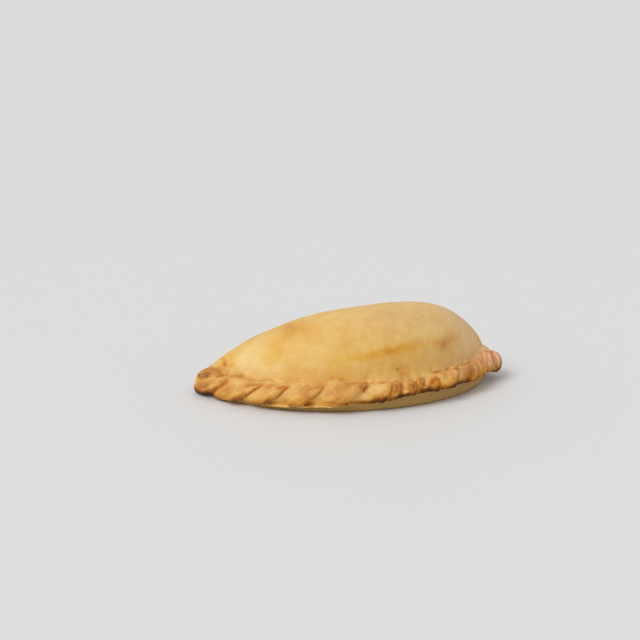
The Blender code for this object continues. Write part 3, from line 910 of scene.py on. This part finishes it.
# Fat gathers along the shoulder's line, and in golden patches on the left of the dome.
oil = (0.9 * shoulder_mask(1.6) + 0.28 * shoulder_mask(3.2)) * window(-24, -6, 18, 31, right)
oil = np.clip(oil * (0.85 + 0.3 * soft_noise(points, 9 * MM)), 0.0, 1.0)
golden = smooth_step(0.1, 0.7, layered_noise(points + 0.1, 12 * MM, 2)) * smooth_step(30, -20, right)
oil = np.maximum(oil, GOLDEN_PATCHES * golden * front_side) * off_braid
# On the left end the wrinkles are painted paler where they stand up and browner in their hollows: painted
# highlight and shade.
brown += (0.03 + 0.11 * smooth_step(2, 16, right)) * oil + left_end * (0.06 - 0.16 * wrinkles)
# Along the shoulder's line the dome is browner, most round X = 41 mm; there this brown also paints the shade
# just below the shoulder.
brown += off_braid * (0.04 * shoulder_mask(5) + 0.18 * shoulder_mask(2.3) * hump(right, 41, 8))
# Painted sheen: what faces up on the dome gets a pale greyish tint, most of it on the right.
sheen_on_top = off_braid * smooth_step(-30, 30, right) * smooth_step(0.35, 0.9, normals[:, 2])
sheen_on_top *= (0.26 + 0.1 * soft_noise(points, 11 * MM)) * (1.0 - oil)
print("dome's brown, mean:", round(float(brown[off_braid > 0.5].mean()), 2))

# %% Browning of the braid
BRAID_BROWN, FOLD_SHARE_OF_BROWN = 0.335, 0.38
LOWER_EDGE, LOWER_EDGE_RIGHT, LOWER_EDGE_AT_ENDS = 0.14, 0.24, 0.08

# The right end and the braid's tip there bake redder, but not the lowest edge.
blush = 0.2 * smooth_step(26, 60, right) + 0.24 * hump(along, 78, 6.5) * on_braid
blush = (blush + 0.06 * on_braid) * (1.0 - 0.6 * on_braid * hump(along, 57, 9))
blush *= 1.0 - on_braid * smooth_step(6, 3, above_edge)
# A long fold is browner along its middle. Every fold is painted paler on its tucked side, which faces
# the light, and on the left its leading edge, turned from the light, is painted darker low down: this
# is painted light and shade.
long_folds = smooth_step(10, 20, fold_lengths)
braid_brown = BRAID_BROWN + FOLD_SHARE_OF_BROWN * fold_brown + spots(BRAID_MARKS) + 0.1 * standing_out
braid_brown += 0.13 * layered_noise(points, 6 * MM, 3) + 0.05 * streaks
braid_brown += long_folds * (0.03 * hump(fold_across, 0.1, 0.4) + 0.05 * hump(fold_share, 0.62, 0.15))
low_half = smooth_step(0.75, 0.4, fold_share) * smooth_step(-10, -40, along)
braid_brown += 0.16 * low_half * smooth_step(0.65, 1, fold_across) - 0.1 * hump(fold_across, -0.6, 0.3)
# The braid's lower edge is darker: browning where it lay on the tray, and painted shade on its underside.
raised_edge = (points[:, 2] - bottom_line(points + BASE_MIDDLE)) / MM
lower_edge = smooth_step(3.6, 0.3, raised_edge) * smooth_step(1, 3, out) * on_braid
edge_brown = LOWER_EDGE - LOWER_EDGE_AT_ENDS * low_ends + LOWER_EDGE_RIGHT * window(-8, 12, 40, 84, along)
braid_brown += lower_edge * edge_brown * (1.0 + 0.4 * streaks)
brown += (braid_brown - brown) * on_braid * (1.0 - tail)
print("braid's brown, mean:", round(float(brown[on_braid > 0.5].mean()), 2))

# %% Tips, wall and base
WALL_BROWN, BASE_BROWN = 0.34, 0.62

up = points[:, 2] / MM
# Browner: both tips, the left one's underside, darkened partly as painted shade, and the foot of the
# back. The wall's browning stays pale; the material lays painted shade over it.
brown += 0.04 * smooth_step(-66, -84, along) * smooth_step(-9, -3, out) + 0.06 * smooth_step(70, 86, along)
brown += 0.28 * smooth_step(-68, -76, along) * smooth_step(4.4, 1.6, up) * on_braid
brown -= wall * (brown - WALL_BROWN)
brown += 0.14 * smooth_step(5, 1, up) * smooth_step(-12, -18, out)
brown += (BASE_BROWN - brown) * smooth_step(0.6, 0.1, up) * smooth_step(-0.5, -0.9, normals[:, 2])
brown = relax(np.clip(brown, 0.0, 1.0), 2)[:, 0]

kept = {
    "brown": brown, "crease": crease, "braid": on_braid, "wall": wall, "oil": oil, "blush": blush,
    "sheen_on_top": sheen_on_top, "speck": np.clip(spots(SPECKS), 0.0, 1.0),
}
for name, values in kept.items():
    layer = skin.attributes.new(name, "FLOAT", "POINT")
    layer.data.foreach_set("value", values.astype(np.float32))
print("brown, lowest, mean, highest:", *np.round([brown.min(), brown.mean(), brown.max()], 2))

# %% [markdown]
# ## The baked finish
#
# Two effects make the finish, each a node group that could serve any pastry. `mottled bake` turns
# the browning into colour: it breaks the value up with noise of three sizes, then looks it up in a
# ramp from cream to nearly black. `dough grain` makes the height of the fine surface: soft pits,
# pores and a grain of flour.


# %% Helpers for node groups
def new_group(name, numbers, outputs):
    """A shader node group that takes coordinates and some numbers, and its two end nodes."""
    group = bpy.data.node_groups.new(name, "ShaderNodeTree")
    group.interface.new_socket("Coordinates", in_out="INPUT", socket_type="NodeSocketVector")
    for socket, default in numbers.items():
        made = group.interface.new_socket(socket, in_out="INPUT", socket_type="NodeSocketFloat")
        made.default_value = default
    for socket, kind in outputs.items():
        group.interface.new_socket(socket, in_out="OUTPUT", socket_type=kind)
    return group, group.nodes.new("NodeGroupInput"), group.nodes.new("NodeGroupOutput")


def link(tree, source, target):
    tree.links.new(source, target)


def math_node(tree, operation, first, second=None, third=None):
    """A Math node whose inputs are sockets or numbers; gives its output socket."""
    node = tree.nodes.new("ShaderNodeMath")
    node.operation = operation
    for socket, value in zip(node.inputs, (first, second, third)):
        if value is None:
            continue
        if isinstance(value, (int, float)):
            socket.default_value = value
        else:
            link(tree, value, socket)
    return node.outputs[0]


def noise_node(tree, vector, scale, detail, roughness=0.5):
    """A Noise Texture on the given coordinates; gives its factor socket, 0 to 1 round 0.5."""
    node = tree.nodes.new("ShaderNodeTexNoise")
    node.inputs["Scale"].default_value = scale
    node.inputs["Detail"].default_value = detail
    node.inputs["Roughness"].default_value = roughness
    link(tree, vector, node.inputs["Vector"])
    return node.outputs["Fac"]


def mix_colours(tree, factor, first, second, blend="MIX"):
    """A Mix node for colours; each of the three may be a socket or a value. Gives its colour."""
    node = tree.nodes.new("ShaderNodeMix")
    node.data_type = "RGBA"
    node.blend_type = blend
    for socket, value in ((node.inputs[0], factor), (node.inputs[6], first), (node.inputs[7], second)):
        if isinstance(value, (int, float, tuple)):
            socket.default_value = value
        else:
            link(tree, value, socket)
    return node.outputs[2]


def map_range(tree, value, low, high, to_low, to_high):
    node = tree.nodes.new("ShaderNodeMapRange")
    node.interpolation_type = "SMOOTHSTEP"
    for socket, number in zip(node.inputs[1:5], (low, high, to_low, to_high)):
        socket.default_value = number
    link(tree, value, node.inputs[0])
    return node.outputs[0]


print("node helpers ready")

# %% The mottled bake
# Each noise: how many cells to a metre, and how many finer layers it has.
BAKE_NOISES = ((70.0, 3.0), (260.0, 3.0), (1100.0, 2.0))
FINE_SHARE = 0.6
# Browning and its colour, from pale dough to char.
BAKE_RAMP = (
    (0.00, (0.88, 0.68, 0.37)),
    (0.20, (0.82, 0.560, 0.215)),
    (0.38, (0.77, 0.462, 0.122)),
    (0.50, (0.70, 0.365, 0.080)),
    (0.60, (0.60, 0.272, 0.048)),
    (0.72, (0.44, 0.165, 0.022)),
    (0.86, (0.215, 0.062, 0.006)),
    (1.00, (0.05, 0.016, 0.004)),
)


def make_bake_group():
    """Colour of the bake: browning broken up by noise, looked up in the ramp."""
    outputs = {"Color": "NodeSocketColor", "Bake": "NodeSocketFloat"}
    group, given, result = new_group("mottled bake", {"Brown": 0.3, "Mottle": 0.1}, outputs)
    broad, middle, fine = (noise_node(group, given.outputs["Coordinates"], *size) for size in BAKE_NOISES)
    swing = math_node(group, "SUBTRACT", math_node(group, "ADD", broad, middle), 1.0)
    swing = math_node(group, "MULTIPLY_ADD", math_node(group, "SUBTRACT", fine, 0.5), FINE_SHARE, swing)
    bake = math_node(group, "MULTIPLY_ADD", swing, given.outputs["Mottle"], given.outputs["Brown"])
    ramp = group.nodes.new("ShaderNodeValToRGB")
    ramp.color_ramp.interpolation = "B_SPLINE"
    while len(ramp.color_ramp.elements) < len(BAKE_RAMP):
        ramp.color_ramp.elements.new(1.0)
    for element, (place, colour) in zip(ramp.color_ramp.elements, BAKE_RAMP):
        element.position = place
        element.color = (*colour, 1.0)
    link(group, bake, ramp.inputs["Fac"])
    link(group, ramp.outputs["Color"], result.inputs["Color"])
    link(group, bake, result.inputs["Bake"])
    return group


# Pits and grain: cells to a metre, finer layers, roughness. Pores: cells to a metre.
PITS, GRAIN, PORE_CELLS = (380.0, 3.0, 0.55), (1500.0, 3.0, 0.6), 520.0
GRAIN_SHARE, PORE_SHARE = 0.35, -0.35


def make_grain_group():
    """Height of the fine surface: soft pits, a grain of flour, and open pores."""
    outputs = {"Height": "NodeSocketFloat", "Pores": "NodeSocketFloat"}
    group, given, result = new_group("dough grain", {}, outputs)
    pits = noise_node(group, given.outputs["Coordinates"], *PITS)
    grain = noise_node(group, given.outputs["Coordinates"], *GRAIN)
    cells = group.nodes.new("ShaderNodeTexVoronoi")
    cells.inputs["Scale"].default_value = PORE_CELLS
    link(group, given.outputs["Coordinates"], cells.inputs["Vector"])
    pores = map_range(group, cells.outputs["Distance"], 0.05, 0.22, 1.0, 0.0)
    pores = math_node(group, "MULTIPLY", pores, map_range(group, pits, 0.5, 0.62, 0.0, 1.0))
    height = math_node(group, "MULTIPLY_ADD", grain, GRAIN_SHARE, pits)
    height = math_node(group, "MULTIPLY_ADD", pores, PORE_SHARE, height)
    link(group, height, result.inputs["Height"])
    link(group, pores, result.inputs["Pores"])
    return group


bake_group = make_bake_group()
grain_group = make_grain_group()
print("groups:", bake_group.name, "and", grain_group.name)


# %% The crust's material
def attribute_node(tree, name):
    """Reads a number kept on the mesh; gives its factor socket."""
    node = tree.nodes.new("ShaderNodeAttribute")
    node.attribute_name = name
    return node.outputs["Fac"]


def group_node(tree, group, coordinates):
    """A node that holds a group, with its coordinates linked."""
    node = tree.nodes.new("ShaderNodeGroup")
    node.node_tree = group
    link(tree, coordinates, node.inputs["Coordinates"])
    return node


# Colours that are laid over the bake's own.
CARAMEL_AND_SHADE_COLOUR = (0.48, 0.13, 0.006, 1.0)
SHADED_DOUGH_COLOUR = (0.355, 0.215, 0.075, 1.0)
CHARRED = (0.03, 0.012, 0.006, 1.0)
OILED = (0.97, 0.90, 0.58, 1.0)
FLUSHED = (0.88, 0.55, 0.45, 1.0)
SHEEN_TINT = (0.72, 0.62, 0.42, 1.0)
MOTTLE_STRENGTH = 0.2
SPECULAR_LEVEL = 0.12       # baked dough hardly shines
BUMP_STRENGTH, BUMP_DISTANCE = 0.35, 0.25 * MM


def crust_material():
    """Baked crust: mottled browning; creases caramelised and in painted shade; wall in painted shade; sheen.
    """
    material = bpy.data.materials.new("baked crust")
    material.use_nodes = True
    tree = material.node_tree
    shader = tree.nodes["Principled BSDF"]
    coordinates = tree.nodes.new("ShaderNodeTexCoord").outputs["Object"]

    bake = group_node(tree, bake_group, coordinates)
    link(tree, attribute_node(tree, "brown"), bake.inputs["Brown"])
    bake.inputs["Mottle"].default_value = MOTTLE_STRENGTH
    grain = group_node(tree, grain_group, coordinates)

    caramel_and_shade_strength = math_node(tree, "MULTIPLY_ADD", attribute_node(tree, "braid"), 0.75, 0.2)
    layers = (
        (attribute_node(tree, "oil"), OILED, "MULTIPLY"),
        (attribute_node(tree, "blush"), FLUSHED, "MIX"),
        # Painted sheen: a pale greyish tint on what faces up.
        (attribute_node(tree, "sheen_on_top"), SHEEN_TINT, "MIX"),
        # Caramelised juice and painted shade in the creases and hollows.
        (math_node(tree, "MULTIPLY", attribute_node(tree, "crease"), caramel_and_shade_strength), CARAMEL_AND_SHADE_COLOUR, "MIX"),
        # Painted shade: a dark dough colour on the wall under the braid, for the shade of the overhang.
        (math_node(tree, "MULTIPLY", attribute_node(tree, "wall"), 0.75), SHADED_DOUGH_COLOUR, "MIX"),
        # The pores get a touch of the same colour, as painted shade in them.
        (math_node(tree, "MULTIPLY", grain.outputs["Pores"], 0.07), CARAMEL_AND_SHADE_COLOUR, "MIX"),
        (math_node(tree, "MULTIPLY", attribute_node(tree, "speck"), 0.8), CHARRED, "MIX"),
    )
    colour = bake.outputs["Color"]
    for strength, tint, blend in layers:
        colour = mix_colours(tree, strength, colour, tint, blend)
    link(tree, colour, shader.inputs["Base Color"])

    roughness = map_range(tree, bake.outputs["Bake"], 0.1, 0.8, 0.62, 0.44)
    link(tree, roughness, shader.inputs["Roughness"])
    shader.inputs["Specular IOR Level"].default_value = SPECULAR_LEVEL
    shader.inputs["Metallic"].default_value = 0.0

    bump = tree.nodes.new("ShaderNodeBump")
    bump.inputs["Strength"].default_value = BUMP_STRENGTH
    bump.inputs["Distance"].default_value = BUMP_DISTANCE
    link(tree, grain.outputs["Height"], bump.inputs["Height"])
    link(tree, bump.outputs["Normal"], shader.inputs["Normal"])
    return material


material = crust_material()
print("nodes in the crust's material:", len(material.node_tree.nodes))

# %% [markdown]
# The fused skin has more faces than it needs. It is thinned here, which leaves most of them where the
# surface bends most, and what was kept on the mesh comes along.

# %% Fewer triangles, one skin
TRIANGLES = 190000


def thinned_mesh(holder, triangles):
    """The same skin with about so many triangles: most of them stay where the surface bends most."""
    thin = holder.modifiers.new("fewer faces", "DECIMATE")
    thin.ratio = triangles / (2 * len(holder.data.polygons))
    return keep_modified(holder)


def without_scraps(mesh):
    """Leaves only the largest skin, because an air bubble sealed in the dough has a skin of its own.

    Every point takes the lowest number among its neighbours', again and again, until each skin has
    one number.
    """
    near, far = read(mesh.edges, "vertices", 2, np.int64).T
    label = np.arange(len(mesh.vertices))
    changed = True
    while changed:
        lowest = label.copy()
        np.minimum.at(lowest, near, label[far])
        np.minimum.at(lowest, far, label[near])
        lowest = lowest[lowest]
        changed = bool((lowest != label).any())
        label = lowest
    scraps = np.flatnonzero(label != np.bincount(label).argmax())
    shell = bmesh.new()
    shell.from_mesh(mesh)
    shell.verts.ensure_lookup_table()
    bmesh.ops.delete(shell, geom=[shell.verts[number] for number in scraps], context="VERTS")
    shell.to_mesh(mesh)
    shell.free()
    print("points in scraps:", len(scraps))
    return mesh


skin = without_scraps(thinned_mesh(crust, TRIANGLES))
print("thinned skin:", len(skin.polygons), "faces, kept:", [layer.name for layer in skin.attributes][:10])
skin.materials.clear()
skin.materials.append(material)
skin.shade_smooth()
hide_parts("empanada")
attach(crust, "root")
print("crust dressed:", crust.name)

# %% [markdown]
# ## Floor, light and camera
#
# A plain pale floor and soft daylight from the left keep the eye on the crust. The camera stands as
# the photographer's did: a long lens, low over the table, turned a little to the left of the front.

# %% The floor
FLOOR_SIZE, FLOOR_GAP = 12.0, 0.05 * MM
FLOOR_GREY = (0.77, 0.77, 0.768, 1.0)


def make_floor():
    half = FLOOR_SIZE / 2
    mesh = bpy.data.meshes.new("floor")
    outline = [(-half, -half, 0), (half, -half, 0), (half, half, 0), (-half, half, 0)]
    mesh.from_pydata(outline, [], [(0, 1, 2, 3)])
    floor = place_object("floor", mesh)
    floor.location.z = -FLOOR_GAP
    material = bpy.data.materials.new("pale floor")
    material.use_nodes = True
    shader = material.node_tree.nodes["Principled BSDF"]
    shader.inputs["Base Color"].default_value = FLOOR_GREY
    shader.inputs["Roughness"].default_value = 0.6
    mesh.materials.append(material)


make_floor()
print("floor, m across:", FLOOR_SIZE)


# %% The lights
DAYLIGHT_FROM = (-0.62, -0.38, 0.78)
DAYLIGHT_STRENGTH, DAYLIGHT_SPREAD = 1.5, math.radians(35.0)
SKY_STRENGTH = 0.6

daylight = bpy.data.lights.new("daylight", "SUN")
daylight.energy = DAYLIGHT_STRENGTH
daylight.angle = DAYLIGHT_SPREAD
sun = place_object("daylight", daylight)
sun.rotation_euler = (-Vector(DAYLIGHT_FROM)).to_track_quat("-Z", "Y").to_euler()
world = bpy.data.worlds.new("studio")
bpy.context.scene.world = world
world.use_nodes = True
sky = world.node_tree.nodes["Background"]
sky.inputs["Color"].default_value = (1.0, 1.0, 1.0, 1.0)
sky.inputs["Strength"].default_value = SKY_STRENGTH
bpy.context.scene.view_settings.view_transform = "Standard"

# %% The camera
LENS, SENSOR = 90.0, 36.0
PHOTO_SIDE = 640
TURN, TILT = math.radians(-10.0), math.radians(15.7)    # optical axis: from the front, and downwards
DISTANCE = 0.752
AIM = Vector((0.0, 0.0, 0.018))
AIM_PIXEL = (357.5, 357.0)      # where that point of the crust lies in the photograph


def make_camera():
    """A camera whose picture shows the aim point at its pixel: stepped aside, not turned, to do so."""
    forward = Vector((-math.sin(TURN) * math.cos(TILT), math.cos(TURN) * math.cos(TILT), -math.sin(TILT)))
    right = Vector((math.cos(TURN), math.sin(TURN), 0.0))
    up = right.cross(forward)
    pixel = DISTANCE * SENSOR / LENS / PHOTO_SIDE
    aside = right * ((AIM_PIXEL[0] - PHOTO_SIDE / 2) * pixel) - up * ((AIM_PIXEL[1] - PHOTO_SIDE / 2) * pixel)
    lens = bpy.data.cameras.new("camera")
    lens.lens = LENS
    lens.sensor_width = SENSOR
    camera = place_object("camera", lens)
    camera.location = AIM - forward * DISTANCE - aside
    camera.rotation_euler = forward.to_track_quat("-Z", "Y").to_euler()
    bpy.context.scene.camera = camera
    return camera


camera = make_camera()
print("camera, m:", [round(value, 3) for value in camera.location])
